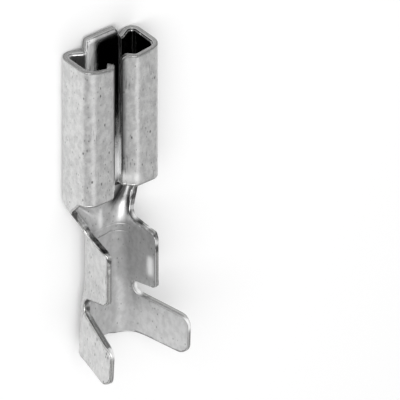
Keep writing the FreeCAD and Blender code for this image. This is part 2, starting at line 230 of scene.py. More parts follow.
def middlePoint(s, q):
    # the point and the tangent of the middle line at station s and fold coordinate q: 0 to 1 the floor, to 2
    # the valley, a curve of the second degree, to 3 the slope, to 4 the round fold, then millimetres up the
    # wall and over the roll
    f = foldAt(s)
    side, q = np.where(q < 0, -1, 1), np.abs(q)
    reach = strip["valleyReach"]
    slopeX, slopeZ = np.cos(f["rise"]), np.sin(f["rise"])
    wallX, wallZ = np.cos(f["wallAngle"]), np.sin(f["wallAngle"])
    lowX, lowZ = f["valleyX"] + reach * slopeX, f["valleyZ"] + reach * slopeZ
    v, u = np.clip(q - 1, 0, 1), np.clip(q - 2, 0, 1)
    a = f["rise"] + (f["wallAngle"] - f["rise"]) * np.clip(q - 3, 0, 1)
    w, r = q - 4, q - rollFoot
    rolled = (q > rollFoot) & (s > strip["rollStart"]["left"] - strip["rollMargin"])
    stretch = [rolled, q > 4, q > 3, q > 2, q > 1]
    x = np.select(stretch, [
        np.interp(r, rollLength, rollLine[:, 0]), f["footX"] + wallX * w,
        f["centreX"] + f["radius"] * np.sin(a), lowX + (f["startX"] - lowX) * u,
        f["valleyX"] - reach * (1 - v) ** 2 + reach * slopeX * v ** 2,
    ], (f["valleyX"] - reach) * np.clip(q, 0, 1))
    z = np.select(stretch, [
        np.interp(r, rollLength, rollLine[:, 1]), f["footZ"] + wallZ * w,
        f["centreZ"] - f["radius"] * np.cos(a), lowZ + (f["startZ"] - lowZ) * u,
        f["valleyZ"] + reach * slopeZ * v ** 2,
    ], f["valleyZ"])
    rolledX, rolledZ = np.interp(r, rollLength, rollSlope[:, 0]), np.interp(r, rollLength, rollSlope[:, 1])
    tx = np.select(stretch, [rolledX, wallX, np.cos(a), slopeX, 1 - v + slopeX * v], 1.0)
    tz = np.select(stretch, [rolledZ, wallZ, np.sin(a), slopeZ, slopeZ * v], 0.0)
    size = np.hypot(tx, tz)
    return side * x, z, tx / size, side * tz / size


def foldOfHeight(s, z):
    # fold coordinate of the point of the fold or wall that lies at height z: on the circle from the arc
    # cosine of the height, on the wall from the height over the sine of its angle
    f = foldAt(s)
    a = np.arccos(np.clip((f["centreZ"] - z) / f["radius"], -1, 1))
    low = 3 + np.clip((a - f["rise"]) / (f["wallAngle"] - f["rise"]), 0, 1)
    return np.where(z > f["footZ"], 4 + (z - f["footZ"]) / np.sin(f["wallAngle"]), low)


def rimFall(slant, across):
    # how far the rim of a rolled face stands back, at a distance from the middle: eased from nothing at the
    # wall to the slant near the lip
    wallX = strip["boxWidth"] / 2 - strip["thickness"] / 2
    run = wallX - strip["slotWidth"] / 2 - pressMarks["rimFallCut"]
    return slant * eased(0, 1, (wallX + pressMarks["rimFallStart"] - across) / run)


def wingEdge(side):
    # cut edge of the wire end, wings and neck of one side: corners in station and height, joined by arcs,
    # then the heights turned into fold coordinates
    c, m = strip, pressMarks
    neckLow = c["floorLift"] + c["thickness"] + c["neckWall"]
    start, notch = c["conductorStart"][side], c["notchFloor"] + m["notchLift"][side]
    corners = [
        (c["floorEnd"] - c["floorHollow"], c["floorEndHeight"], 0),
        (c["wingTipEnd"] + c["rootInset"], c["rootHeight"], c["rootCorner"]),
        (c["wingTipEnd"] + c["tipInset"], c["insulationHeight"] - c["insulationSlant"], c["lowerTipCorner"]),
        (c["insulationTip"], c["insulationHeight"], c["upperTipCorner"]),
        (c["insulationRoot"], notch, m["notchRound"]), (start - m["notchLean"][side], notch, m["notchRound"]),
        (start, c["conductorHeight"], c["wingCorner"]),
        (c["conductorEnd"], c["conductorHeight"], c["wingCorner"]),
        (c["neckStart"], neckLow + c["neckWallRise"], c["neckCorner"]),
        (c["neckEnd"], neckLow, c["shoulderCorner"]), (c["rollStart"][side], rollLine[0, 1], 0),
    ]
    edge = roundedPath([p[:2] for p in corners], [p[2] for p in corners[1:-1]], netSteps["edge"])
    wings = np.column_stack([edge[:, 0], foldOfHeight(edge[:, 0], edge[:, 1])])
    across = np.linspace(0, 1, netSteps["floorEnd"])
    floorEnd = np.column_stack([c["floorEnd"] - c["floorHollow"] * across ** 2, wings[0, 1] * across])
    return np.vstack([floorEnd[:-1], wings])


def rollEdge(side):
    # cut edge of one rolled face: its lower end with a round corner, the lip, the quarter circle of the
    # lip's corner at the mouth and the rim that falls back towards it
    c, low, r = strip, pressMarks["lowCorner"], strip["lipCorner"]
    roll, slotEdge = c["rollStart"][side], c["slotWidth"] / 2
    wallX = c["boxWidth"] / 2 - c["thickness"] / 2
    a = np.linspace(0, math.pi / 2, netSteps["rimCorner"])
    straight = np.linspace(slotEdge + r, wallX - pressMarks["rimInset"], netSteps["rim"])[1:]
    cornerX = np.append(slotEdge + r - r * np.cos(a), straight)
    cornerQ = np.interp(cornerX, rollLine[::-1, 0], (rollFoot + rollLength)[::-1])
    fall = rimFall(pressMarks["rimSlant"][side], cornerX)
    cornerS = c["mouth"] - fall - np.append(r - r * np.sin(a), np.zeros(len(straight)))
    a = np.linspace(0, math.pi / 2, netSteps["lowCorner"])
    rolled = np.vstack([
        [(roll, rollFoot), (roll, rollEnd - low)],
        np.column_stack([roll + low * (1 - np.cos(a)), rollEnd - low * (1 - np.sin(a))]),
        np.column_stack([cornerS, cornerQ]),
        [(c["mouth"], rollFoot - pressMarks["rimJoin"]), (c["mouth"], 4.0)],
    ])
    return evenPath(rolled, netSteps["edge"])


def mouthEdge():
    # cut edge at the mouth from the wall's foot over fold, slope and valley, then half of the tongue
    c, m = strip, pressMarks
    back = np.concatenate([np.linspace(*run)[1:] for run in netSteps["mouthRuns"]])
    half, corner = m["padHalfWidth"] + m["padSlope"], m["tongueCorner"]
    tip = c["mouth"] + m["padReach"]
    tongue = [(c["mouth"], half / floorHalf), (tip - corner, (half - m["padSlant"]) / floorHalf),
              (tip, (half - m["padSlant"] - corner) / floorHalf), (tip, 0.0)]
    return np.vstack([np.column_stack([np.full(len(back), c["mouth"]), back]),
                      evenPath(np.array(tongue), netSteps["edge"])])


def wholeOutline():
    # the cut edge of the whole strip in station and fold coordinate, as one loop from the middle of the wire
    # end over the right side to the tongue and back over the left side, whose fold coordinates are negative
    right, left = (distinct(np.vstack([wingEdge(side), rollEdge(side)[1:], mouthEdge()]), 1e-4)
                   for side in ("right", "left"))
    return np.vstack([right, (left * [1, -1])[-2:0:-1]])


def insideLoop(points, loop):
    # even-odd rule: a ray towards growing q crosses the loop an odd number of times
    ends = np.column_stack([loop, np.roll(loop, -1, axis=0)])
    s0, q0, s1, q1 = ends[ends[:, 0] != ends[:, 2]].T
    inside = np.zeros(len(points), bool)
    for first in range(0, len(points), netSteps["atOnce"]):
        some = slice(first, first + netSteps["atOnce"])
        s, q = points[some, 0, None], points[some, 1, None]
        crosses = (s < np.maximum(s0, s1)) & (s >= np.minimum(s0, s1))
        crosses &= q < q0 + (s - s0) * (q1 - q0) / (s1 - s0)
        inside[some] = crosses.sum(axis=1) % 2 == 1
    return inside


def scoreMiddles():
    # stations of the two score lines: the first, and one pitch on
    m = pressMarks
    return [m["scoreStation"] + m["scoreWidth"] / 2 + k * m["scorePitch"] for k in range(2)]


def gridLines():
    # stations, and fold coordinates closer together where the strip is bent
    c, m, n = strip, pressMarks, netSteps
    s = np.arange(c["wingTipEnd"], c["mouth"] + m["padReach"], n["sheet"])
    extra = [c["padStart"] + d for d in n["pad"]]
    extra += [middle + d for middle in scoreMiddles() for d in n["score"]]
    extra += [c["mouth"] - d for d in n["mouth"]]
    s = s[np.min(np.abs(s[:, None] - np.array(extra)), axis=1) > n["lineClearance"]]
    s = np.sort(np.append(s, extra))
    side = (m["padHalfWidth"] + np.array(n["padSide"])) / floorHalf
    floor = np.append(np.arange(0.0, side[0] - n["padGap"], n["sheet"] / floorHalf), side)
    roll = np.interp(np.linspace(0, 1, n["roll"])[1:], np.linspace(0, 1, len(rollLength)), rollLength)
    q = np.concatenate([
        floor, n["valley"], 2 + np.linspace(n["slope"][0], 1, n["slope"][1]),
        3 + np.linspace(n["fold"][0], 1, n["fold"][1]), np.linspace(4, rollFoot, n["wall"])[1:],
        rollFoot + roll, np.arange(rollEnd + n["sheet"], n["highest"], n["sheet"]),
    ])
    return s, np.unique(np.concatenate([-q, q]).round(6))


def sheetDomain():
    # flat net of the strip: the outline, the points within it that keep clear of the rounded edge, and the
    # triangles between them
    loop = wholeOutline()
    s, q = gridLines()
    points = np.stack(np.meshgrid(s, q, indexing="ij"), axis=-1).reshape(-1, 2)
    points = points[insideLoop(points, loop)]
    x, z, _, _ = middlePoint(points[:, 0], points[:, 1])
    lx, lz, _, _ = middlePoint(loop[:, 0], loop[:, 1])
    inSpace, edge = np.column_stack([points[:, 0], x, z]), np.column_stack([loop[:, 0], lx, lz])
    near = np.full(len(points), np.inf)
    for first in range(0, len(points), netSteps["atOnce"]):
        some = slice(first, first + netSteps["atOnce"])
        near[some] = np.linalg.norm(inSpace[some, None] - edge[None], axis=2).min(axis=1)
    points = points[near > pressMarks["rollOver"] + netSteps["edgeClearance"]]
    count = len(loop)
    coords = [Vector(p) for p in np.vstack([loop, points]).tolist()]
    border = [(i, (i + 1) % count) for i in range(count)]
    verts, _, faces, origin, _, _ = delaunay_2d_cdt(coords, border, [], 0, 1e-6, True)
    net = np.array([tuple(v) for v in verts])
    faces = np.array([f for f in faces if len(f) == 3])
    faces = faces[insideLoop(net[faces].mean(axis=1), loop)]
    order = np.array([o[0] if o else -1 for o in origin])
    return net, faces, order, count


net, faces, order, count = sheetDomain()
print("net of the strip:", len(net), "points", len(faces), "triangles,", count, "on the edge")


def padShare(s, x):
    # 1 on the pad and the tongue, 0 beside them, with eased sides and a sheared lower end with cut corners
    m = pressMarks
    half, bend, shear = m["padHalfWidth"] + m["padSlope"] - m["padInset"], m["padSideBend"], m["padShear"]
    across = eased(0, 1, (half + bend / 2 - np.abs(x)) / bend)
    cut = np.where(x < 0, m["padCutCorner"], m["padPlainCorner"])
    low = strip["padStart"] + np.maximum(0, np.abs(x) - (half - cut))
    return across * eased(0, 1, (s - low + shear / 2) / shear)


def thinning(z, top, depth, height):
    # how much thinner the press leaves a wing: depth * (share of the height below its top) ^ power
    share = (z - (top - height)) / height
    return depth * np.clip(share, 0, 1) ** pressMarks["thinningPower"]


def skinOffsets(s, q, x, z):
    # distances from the middle line to the outer and inner face: half the thickness, less where the wings
    # are thinned and the floor is scored, and less again along a straight lead-in at the rim and the tongue
    c, m, t = strip, pressMarks, strip["thickness"]
    outer, inner = np.full(len(s), -t / 2), np.full(len(s), t / 2)
    wing = np.abs(q) > 4
    onTail = wing & (s < c["insulationRoot"] + m["tailThinnedTo"])
    tail = thinning(z, c["insulationHeight"], m["insulationThinning"], m["insulationThinningHeight"])
    outer = outer + np.where(onTail, tail, 0)
    onWing = wing & (s > c["insulationRoot"] + m["wingThinnedFrom"]) & (s < c["neckStart"])
    wings = thinning(z, c["conductorHeight"], m["conductorThinning"], m["conductorThinningHeight"])
    outer = outer + np.where(onWing, wings, 0)
    for middle in scoreMiddles():
        groove = np.clip(1 - np.abs(s - middle) / (m["scoreWidth"] * m["scoreShare"]), 0, 1)
        inner = inner - m["scoreDepth"] * (groove * eased(1, 0, (z - m["scoreRise"]) / m["scoreFade"]))
    slant = np.where(x < 0, m["rimSlant"]["left"], m["rimSlant"]["right"])
    fall = np.where(np.abs(q) > rollFoot, rimFall(slant, np.abs(x)), 0)
    rim = np.clip((s - c["mouth"] + fall + m["leadIn"]) / m["leadIn"], 0, 1)
    tip = np.clip((s - c["mouth"] - m["padReach"] + 2 * m["leadIn"]) / (2 * m["leadIn"]), 0, 1)
    tongue = (np.abs(q) <= 1) & (np.abs(x) < m["padHalfWidth"] + m["padSlope"] + m["tongueMargin"])
    return outer, inner - m["leadIn"] * np.where(tongue, tip, rim)


def sheetPoints(s, q):
    # middle points, sheet normals towards the inside, and both offsets; the pad is pressed out of the floor
    x, z, tx, tz = middlePoint(s, q)
    outer, inner = skinOffsets(s, q, x, z)
    z = z - pressMarks["padDepth"] * np.where(np.abs(q) < pressMarks["padFold"], padShare(s, x), 0)
    return np.column_stack([x, s, z]), np.column_stack([-tz, 0 * s, tx]), outer, inner


# Painted shade and painted highlights: dark reflections and shade painted on the neck, the barrel floor, a
# score line and a notch edge, and highlights and glints painted on a wing's inside, the neck floor, the lip
# and the cut edges at the neck, the wing corners and the notch root. For each: the face it is on, how far it
# reaches from its middle line, how strong it is, and the line itself through x, s, z in millimetres
spots = {
    "dark": [
        {"on": "inside", "width": 0.52, "share": 1.0,
         "line": [(0.98, 6.98, 0.52), (0.77, 6.70, 0.52), (0.53, 6.38, 0.52)]},
        {"on": "inside", "width": 0.36, "share": 0.8,
         "line": [(1.22, 6.85, 0.35), (1.10, 6.45, 0.36), (0.98, 6.20, 0.40)]},
        {"on": "inside", "width": 0.18, "share": 1.0,
         "line": [(1.12, 6.25, 0.55), (1.02, 5.93, 0.73), (0.95, 5.72, 0.85)]},
        {"on": "inside", "width": 0.42, "share": 0.32,
         "line": [(0.62, 5.10, 0.50), (0.62, 3.00, 0.45)]},
        {"on": "edge", "width": 0.20, "share": 0.9,
         "line": [(-1.20, 2.20, 0.98), (-1.22, 2.45, 1.00)]},
        {"on": "inside", "width": 0.05, "share": 0.7,
         "line": [(-0.30, 4.90, 0.50), (0.05, 4.93, 0.49), (0.40, 5.02, 0.50)]},
    ],
    "bright": [
        {"on": "inside", "width": 0.34, "share": 0.80,
         "line": [(1.01, 4.15, 2.08), (1.02, 3.60, 2.08)]},
        {"on": "inside", "width": 0.20, "share": 0.55,
         "line": [(-0.18, 6.10, 0.52), (-0.18, 5.35, 0.52)]},
        {"on": "outside", "width": 0.40, "share": 0.50,
         "line": [(0.30, 8.00, 1.52), (0.58, 8.00, 1.80)]},
        {"on": "edge", "width": 0.18, "share": 0.95,
         "line": [(1.12, 5.72, 0.98), (1.09, 5.60, 1.03), (1.06, 5.40, 1.25)]},
        {"on": "edge", "width": 0.22, "share": 0.8,
         "line": [(1.12, 5.20, 2.10), (1.12, 5.05, 2.30)]},
        {"on": "edge", "width": 0.30, "share": 0.95,
         "line": [(1.79, 1.72, 3.38), (1.81, 1.45, 3.46)]},
        {"on": "edge", "width": 0.24, "share": 0.75,
         "line": [(-1.80, 1.80, 3.28), (-1.84, 1.62, 3.44)]},
        {"on": "edge", "width": 0.26, "share": 1.0,
         "line": [(1.24, 2.42, 0.98), (1.26, 2.12, 1.10)]},
    ],
}


def spotShare(places, points, masks):
    # for each point the largest share of the spots it lies in: full on a spot's line, eased to nothing at its
    # width
    share = np.zeros(len(points))
    for place in places:
        line = np.array(place["line"])
        for start, end in zip(line, line[1:]):
            along = np.clip((points - start) @ (end - start) / ((end - start) @ (end - start)), 0, 1)
            gap = np.linalg.norm(points - start - along[:, None] * (end - start), axis=1)
            share = np.maximum(share, place["share"] * eased(1, 0, gap / place["width"]) * masks[place["on"]])
    return share


def cutEdge(loopMiddle, loopNormal, outer, inner):
    # rings of the cut edge from the outer to the inner face: a quarter circle, the straight cut face whose
    # torn part stands back, and a small quarter circle
    m = pressMarks
    along = np.roll(loopMiddle, -1, axis=0) - np.roll(loopMiddle, 1, axis=0)
    outwards = np.cross(along, loopNormal)
    outwards /= np.linalg.norm(outwards, axis=1)[:, None]
    a = np.linspace(0, math.pi / 2, netSteps["arc"] + 1)
    r, b, back = m["rollOver"], m["burrSide"], m["tornRecess"]
    steps = [(-r + r * math.sin(v), outer + r - r * math.cos(v)) for v in a]
    low, high = outer + r, inner - b
    for share in netSteps["cutFace"]:
        torn = back * eased(0, 1, (share - m["tornFrom"]) / m["tornRun"])
        steps.append((-torn, low + (high - low) * share))
    steps += [(-back - b + b * math.sin(v), high + b * math.cos(v)) for v in a[::-1]]
    shares = [(h - outer) / (inner - outer) for _, h in steps]
    return [loopMiddle + outwards * e + loopNormal * h[:, None] for e, h in steps], shares


def stripMesh():
    # two skins over the same net and the rings of the cut edge between them, one closed surface. Its
    # attributes say where each point lies: 0 outside to 1 inside the sheet, on the cut edge, station, fold
    # coordinate, and how much painted shade and painted highlight it gets.
    s, q = net[:, 0], net[:, 1]
    middle, normal, outer, inner = sheetPoints(s, q)
    onLoop = np.full(count, -1)
    given = np.flatnonzero((order >= 0) & (order < count))
    onLoop[order[given]] = given
    rings, shares = cutEdge(middle[onLoop], normal[onLoop], outer[onLoop], inner[onLoop])
    outerSkin, innerSkin = middle + normal * outer[:, None], middle + normal * inner[:, None]
    outerSkin[onLoop], innerSkin[onLoop] = rings[0], rings[-1]
    size, between = len(net), len(rings) - 2
    points = np.vstack([outerSkin, innerSkin] + rings[1:-1])
    ringStart = [onLoop] + [2 * size + i * count + np.arange(count) for i in range(between)] + [size + onLoop]
    triangles = [faces, faces[:, ::-1] + size]
    for low, high in zip(ringStart, ringStart[1:]):
        lowNext, highNext = np.roll(low, -1), np.roll(high, -1)
        triangles += [np.column_stack([low, high, lowNext]), np.column_stack([lowNext, high, highNext])]
    depth = np.concatenate([np.zeros(size), np.ones(size)] + shares[1:-1])
    cut = np.concatenate([np.zeros(2 * size), np.ones(count * between)])
    cut[onLoop], cut[size + onLoop] = 0.5, 0.5
    # on the faces the depth is 0 or 1 and the cut is 0, on the edge the cut is 0.5 to 1
    masks = {"inside": depth > 0.9, "outside": depth < 0.1, "edge": cut > 0.4}
    return points, np.vstack(triangles), {
        "throughSheet": depth, "cutFace": cut,
        "station": np.concatenate([s, s] + [s[onLoop]] * between),
        "foldCoordinate": np.concatenate([q, q] + [q[onLoop]] * between),
        "paintedShadeSpot": spotShare(spots["dark"], points, masks),
        "paintedHighlightSpot": spotShare(spots["bright"], points, masks),
    }


def laidDown(points):
    # from the drawing's axes to the part's: mouth towards -y, open side up, in metres; 500 turns the length
    # of the CAD box in metres into half of it in millimetres
    middle = strip["mouth"] + pressMarks["padReach"] - (cadBox[1][1] - cadBox[0][1]) * 500
    return np.column_stack([-points[:, 0], middle - points[:, 1], points[:, 2]]) / 1000


def meshObject(name, points, triangles, attributes):
    # a mesh object at the origin, with smooth faces and one value per point for each attribute
    mesh = bpy.data.meshes.new(name)
    mesh.vertices.add(len(points))
    mesh.vertices.foreach_set("co", points.astype(np.float32).ravel())
    mesh.loops.add(triangles.size)
    mesh.loops.foreach_set("vertex_index", triangles.astype(np.int32).ravel())
    mesh.polygons.add(len(triangles))
    mesh.polygons.foreach_set("loop_start", np.arange(0, triangles.size, 3, dtype=np.int32))
    mesh.polygons.foreach_set("use_smooth", np.ones(len(triangles), bool))
    for key, values in attributes.items():
        mesh.attributes.new(key, "FLOAT", "POINT").data.foreach_set("value", values.astype(np.float32))
    mesh.update(calc_edges=True)
    mesh.validate()
    piece = bpy.data.objects.new(name, mesh)
    bpy.context.scene.collection.objects.link(piece)
    return piece


points, triangles, attributes = stripMesh()
terminal = meshObject("foldedStrip", laidDown(points), triangles, attributes)
print("folded strip:", len(points), "points", len(triangles), "triangles")


# Finish of the strip: colours are linear, sizes in millimetres, and a mark is how much of its colour each
# kind of dot or line gets
tin = {
    "colour": (0.62, 0.62, 0.615), "paleColour": (0.74, 0.74, 0.735), "dullColour": (0.50, 0.50, 0.50),
    # the room colour is painted shade deep in the receptacle
    "insideColour": (0.66, 0.66, 0.66), "shadeColour": (0.56, 0.56, 0.56), "roomColour": (0.10, 0.10, 0.10),
    "cutColour": (0.46, 0.46, 0.45), "rimColour": (0.30, 0.30, 0.295), "tornColour": (0.30, 0.30, 0.30),
    # the lip colour is a painted dark reflection on the lip
    "edgeLineColour": (0.14, 0.14, 0.14), "lipShadeColour": (0.10, 0.10, 0.10), "pitColour": (0.05, 0.05, 0.05),
    # the bright colour is painted light and painted highlights, the spot colour painted shade
    "brightColour": (0.93, 0.93, 0.93), "paintedShadeColour": (0.03, 0.03, 0.03), "scuffColour": (0.22, 0.22, 0.22),
    "mottleSize": 0.22, "mottleStretch": 1.5, "grainSize": 0.05, "streakSize": 0.10, "streakStretch": 40.0,
    "pitSpacing": 0.20, "pitStretch": 2.0, "speckSpacing": 0.12, "speckStretch": 1.8, "dashSize": 0.34,
    "scuffLength": 0.55, "scuffWidth": 0.035, "patchSize": 0.8, "swellSize": 0.70, "waveSize": 0.30,
    "pitMark": 0.85, "speckMark": 0.55, "scuffMark": 0.7, "shineMatt": 0.55,
    # strength and depth, in metres, of the relief
    "swell": (0.6, 0.00005), "wave": (0.5, 0.00002), "grainRelief": (0.5, 0.000008), "marks": (0.8, 0.000012),
}

# Zones of the finish: each fades in from the first number to the second, and those with two pairs fade out
# over the second pair. They are stations in millimetres, but a side is a distance along x towards the
# photograph's left, floorOnly a fold coordinate, and the lip's two count from its edge and its lower end.
zones = {
    # painted: shade deep in the receptacle, light at its rear under the slot, and a shine on the pad
    "room": ((8.6, 9.3), (13.95, 13.60)), "roomSide": (0.60, -0.05), "paintedRearLight": ((7.1, 7.5), (9.3, 8.7)),
    "paintedShine": (11.6, 12.6), "shineSide": (0.18, 0.50), "floorOnly": (1.5, 1.1), "rim": (12.8, 13.2),
    "lipFade": (0.32, 0.02), "lipStart": (0.25, 0.85), "barrels": (6.4, 5.6),
    "neckEdge": ((4.3, 4.7), (6.9, 6.7)), "notchEdge": ((2.0, 2.1), (2.9, 2.7)),
}

# Ramps: the values of a pattern that become nothing and all, or the third and fourth number where they are
# given. The depth in the sheet runs from 0 outside to 1 inside.
ramps = {
    "inside": (0.45, 0.55), "outside": (0.15, 0.05), "edge": (0.55, 0.95), "faces": (0.9, 0.1),
    "mottle": (0.35, 0.65), "grain": (0.30, 0.75), "streak": (0.52, 0.70, 0, 0.8),
    "pit": (0.24, 0.08), "pitCells": (0.40, 0.85), "speck": (0.30, 0.10), "speckCells": (0.55, 0.95),
    "scuff": (0.62, 0.70), "patch": (0.46, 0.58), "torn": (0.48, 0.56),
    "edgeLine": ((0.14, 0.22), (0.34, 0.24)), "edgeGrain": (0.45, 0.75, 0, 0.4),
    "edgeRim": (0.86, 0.93, 0, 0.7), "darkDash": (0.48, 0.38, 0, 0.8), "brightDash": (0.54, 0.66, 0, 0.7),
    "metallic": (0, 1, 1, 0.1),
    "roughness": (0.35, 0.70, 0.30, 0.42), "insideRoughness": (0.30, 0.46), "smoother": (0, 1, 0, 0.24),
    "edgeRoughness": (0.48, 0.60, 0.24, 0.38),
}

# detail and roughness of the noise patterns
noiseKinds = {"rich": (4.0, 0.6), "plain": (2.0, 0.5), "slow": (1.0, 0.5)}


def node(tree, kind, inputs=(), **settings):
    # a node with its settings, and its inputs either linked or given as values
    made = tree.nodes.new(kind)
    for key, value in settings.items():
        setattr(made, key, value)
    for slot, value in dict(inputs).items():
        if isinstance(value, bpy.types.NodeSocket):
            tree.links.new(value, made.inputs[slot])
        else:
            made.inputs[slot].default_value = value
    return made


def ramp(tree, value, low, high, fromValue=0.0, toValue=1.0):
    # value from low to high becomes fromValue to toValue, held at both ends, with soft ends
    made = node(tree, "ShaderNodeMapRange", {0: value, 1: low, 2: high, 3: fromValue, 4: toValue},
                interpolation_type="SMOOTHSTEP")
    return made.outputs[0]


def combined(tree, operation, a, b=0.0):
    # a and b put through one arithmetic operation, such as their sum or the larger of them
    return node(tree, "ShaderNodeMath", {0: a, 1: b}, operation=operation).outputs[0]


def times(tree, *factors):
    # the product of all factors
    product = factors[0]
    for factor in factors[1:]:
        product = combined(tree, "MULTIPLY", product, factor)
    return product


def band(tree, value, start, end):
    # a ramp up at the start times a ramp down at the end
    return times(tree, ramp(tree, value, *start), ramp(tree, value, *end))


def blended(tree, share, a, b):
    # colour a where share is 0 and b where it is 1
    colours = {6: a if isinstance(a, bpy.types.NodeSocket) else (*a, 1),
               7: b if isinstance(b, bpy.types.NodeSocket) else (*b, 1)}
    return node(tree, "ShaderNodeMix", {0: share, **colours}, data_type="RGBA").outputs[2]


def mixed(tree, share, a, b):
    # number a where share is 0 and b where it is 1
    return node(tree, "ShaderNodeMix", {0: share, 2: a, 3: b}, data_type="FLOAT").outputs[0]


def stretched(tree, lengthwise):
    # the part's own coordinates, times 1000 for millimetres and divided by lengthwise along the part, so that a
    # pattern on them is drawn out by that much
    place = node(tree, "ShaderNodeTexCoord").outputs["Object"]
    scale = (1000, 1000 / lengthwise, 1000)
    return node(tree, "ShaderNodeMapping", {"Vector": place, "Scale": scale}).outputs[0]


def noise(tree, vector, size, kind):
    # a random pattern whose scale is 1 over its size in millimetres, of one of the kinds above
    detail, roughness = noiseKinds[kind]
    return node(tree, "ShaderNodeTexNoise", {"Vector": vector, "Scale": 1 / size, "Detail": detail,
                                             "Roughness": roughness}).outputs[0]


def dots(tree, name, channel):
    # round dots of one kind, pit or speck: full near the middle of a cell of a random pattern, times the share
    # that the cell's own random value gives it
    cells = node(tree, "ShaderNodeTexVoronoi", {"Vector": stretched(tree, tin[name + "Stretch"]),
                                                "Scale": 1 / tin[name + "Spacing"], "Randomness": 1.0})
    chosen = node(tree, "ShaderNodeSeparateColor", {0: cells.outputs["Color"]}).outputs[channel]
    dot = ramp(tree, cells.outputs["Distance"], *ramps[name])
    return times(tree, dot, ramp(tree, chosen, *ramps[name + "Cells"]))


def surfaceFields(tree):
    # what colour, roughness and relief share: the point's place on the sheet, two random patterns, and inside
    # the receptacle its painted shade, painted light at its rear under the slot, and a painted shine on the
    # left part of the pad
    f = {name: node(tree, "ShaderNodeAttribute", attribute_name=name).outputs["Fac"] for name in attributes}
    f["inside"] = ramp(tree, f["throughSheet"], *ramps["inside"])
    f["outside"] = ramp(tree, f["throughSheet"], *ramps["outside"])
    f["edge"] = ramp(tree, f["cutFace"], *ramps["edge"])
    f["turn"] = combined(tree, "ABSOLUTE", f["foldCoordinate"])
    f["place"], f["drawn"] = stretched(tree, 1.0), stretched(tree, tin["mottleStretch"])
    f["mottle"] = noise(tree, f["drawn"], tin["mottleSize"], "rich")
    f["grain"] = noise(tree, f["place"], tin["grainSize"], "rich")
    side = node(tree, "ShaderNodeSeparateXYZ", {0: f["place"]}).outputs[0]
    f["room"] = times(tree, f["inside"], band(tree, f["station"], *zones["room"]),
                      ramp(tree, side, *zones["roomSide"]))
    f["paintedRearLight"] = times(tree, f["inside"], band(tree, f["station"], *zones["paintedRearLight"]))
    f["paintedShine"] = times(tree, f["inside"], ramp(tree, f["turn"], *zones["floorOnly"]),
                       ramp(tree, f["station"], *zones["paintedShine"]), ramp(tree, side, *zones["shineSide"]))
    return f


def faceColour(tree, f):
    # mottled metal outside, smoother inside, painted shade with streaks deep in the receptacle, painted light
    # in its rear and a painted shine on the pad, and black painted shade in the dark spots
    mottled = ramp(tree, f["mottle"], *ramps["mottle"])
    colour = blended(tree, mottled, tin["dullColour"], tin["paleColour"])
    colour = blended(tree, ramp(tree, f["grain"], *ramps["grain"]), colour, tin["colour"])
    insideColour = blended(tree, mottled, tin["shadeColour"], tin["insideColour"])
    colour = blended(tree, f["inside"], colour, insideColour)
    streaks = noise(tree, stretched(tree, tin["streakStretch"]), tin["streakSize"], "plain")
    # painted shade deep in the receptacle, with streaks of the metal's colour
    roomColour = blended(tree, ramp(tree, streaks, *ramps["streak"]), tin["roomColour"], tin["colour"])
    colour = blended(tree, f["room"], colour, roomColour)
    # painted light at the rear under the slot and a painted shine on the pad
    colour = blended(tree, combined(tree, "MAXIMUM", f["paintedRearLight"], f["paintedShine"]), colour, tin["brightColour"])
    # painted shade in the dark spots
    return blended(tree, f["paintedShadeSpot"], colour, tin["paintedShadeColour"])


def withMarks(tree, f, colour):
    # pits, specks and scuffs over the colour, each blended in by its share times its mark, then a painted
    # dark reflection on the lip; also gives the shares of the pits and scuffs, which the relief needs
    pit = times(tree, dots(tree, "pit", 0), f["outside"])
    colour = blended(tree, times(tree, pit, tin["pitMark"]), colour, tin["pitColour"])
    speck = times(tree, dots(tree, "speck", 1), ramp(tree, f["cutFace"], *ramps["faces"]), tin["speckMark"])
    colour = blended(tree, speck, colour, blended(tree, f["room"], tin["pitColour"], tin["paleColour"]))
    # scuffs are the crests of a noise drawn out along the length, in patches
    lines = noise(tree, stretched(tree, tin["scuffLength"] / tin["scuffWidth"]), tin["scuffWidth"], "plain")
    patches = noise(tree, f["drawn"], tin["patchSize"], "plain")
    scuff = times(tree, ramp(tree, lines, *ramps["scuff"]), ramp(tree, patches, *ramps["patch"]),
                  f["outside"])
    colour = blended(tree, times(tree, scuff, tin["scuffMark"]), colour, tin["scuffColour"])
    # painted dark reflection: the lip darkens towards the slot, except at its lower end
    fade = [rollEnd - d for d in zones["lipFade"]]
    start = [strip["rollStart"]["right"] + d for d in zones["lipStart"]]
    lip = times(tree, ramp(tree, f["turn"], *fade), ramp(tree, f["station"], *start), f["outside"])
    return blended(tree, lip, colour, tin["lipShadeColour"]), pit, scuff


def cutColour(tree, f):
    # cut edge: polished from the outer side to the middle with a dark line in it, torn beyond, pale where the
    # grain is high and along the inner side, and streaked dark and bright beside the neck and in the notches
    through = f["throughSheet"]
    colour = blended(tree, ramp(tree, f["station"], *zones["rim"]), tin["cutColour"], tin["rimColour"])
    colour = blended(tree, ramp(tree, through, *ramps["torn"]), colour, tin["tornColour"])
    colour = blended(tree, band(tree, through, *ramps["edgeLine"]), colour, tin["edgeLineColour"])
    colour = blended(tree, ramp(tree, f["grain"], *ramps["edgeGrain"]), colour, tin["paleColour"])
    colour = blended(tree, ramp(tree, through, *ramps["edgeRim"]), colour, tin["paleColour"])
    dashes = noise(tree, f["place"], tin["dashSize"], "slow")
    streaked = combined(tree, "ADD", band(tree, f["station"], *zones["neckEdge"]),
                        band(tree, f["station"], *zones["notchEdge"]))
    for name, tone in (("darkDash", "pitColour"), ("brightDash", "brightColour")):
        colour = blended(tree, times(tree, ramp(tree, dashes, *ramps[name]), streaked), colour, tin[tone])
    return colour


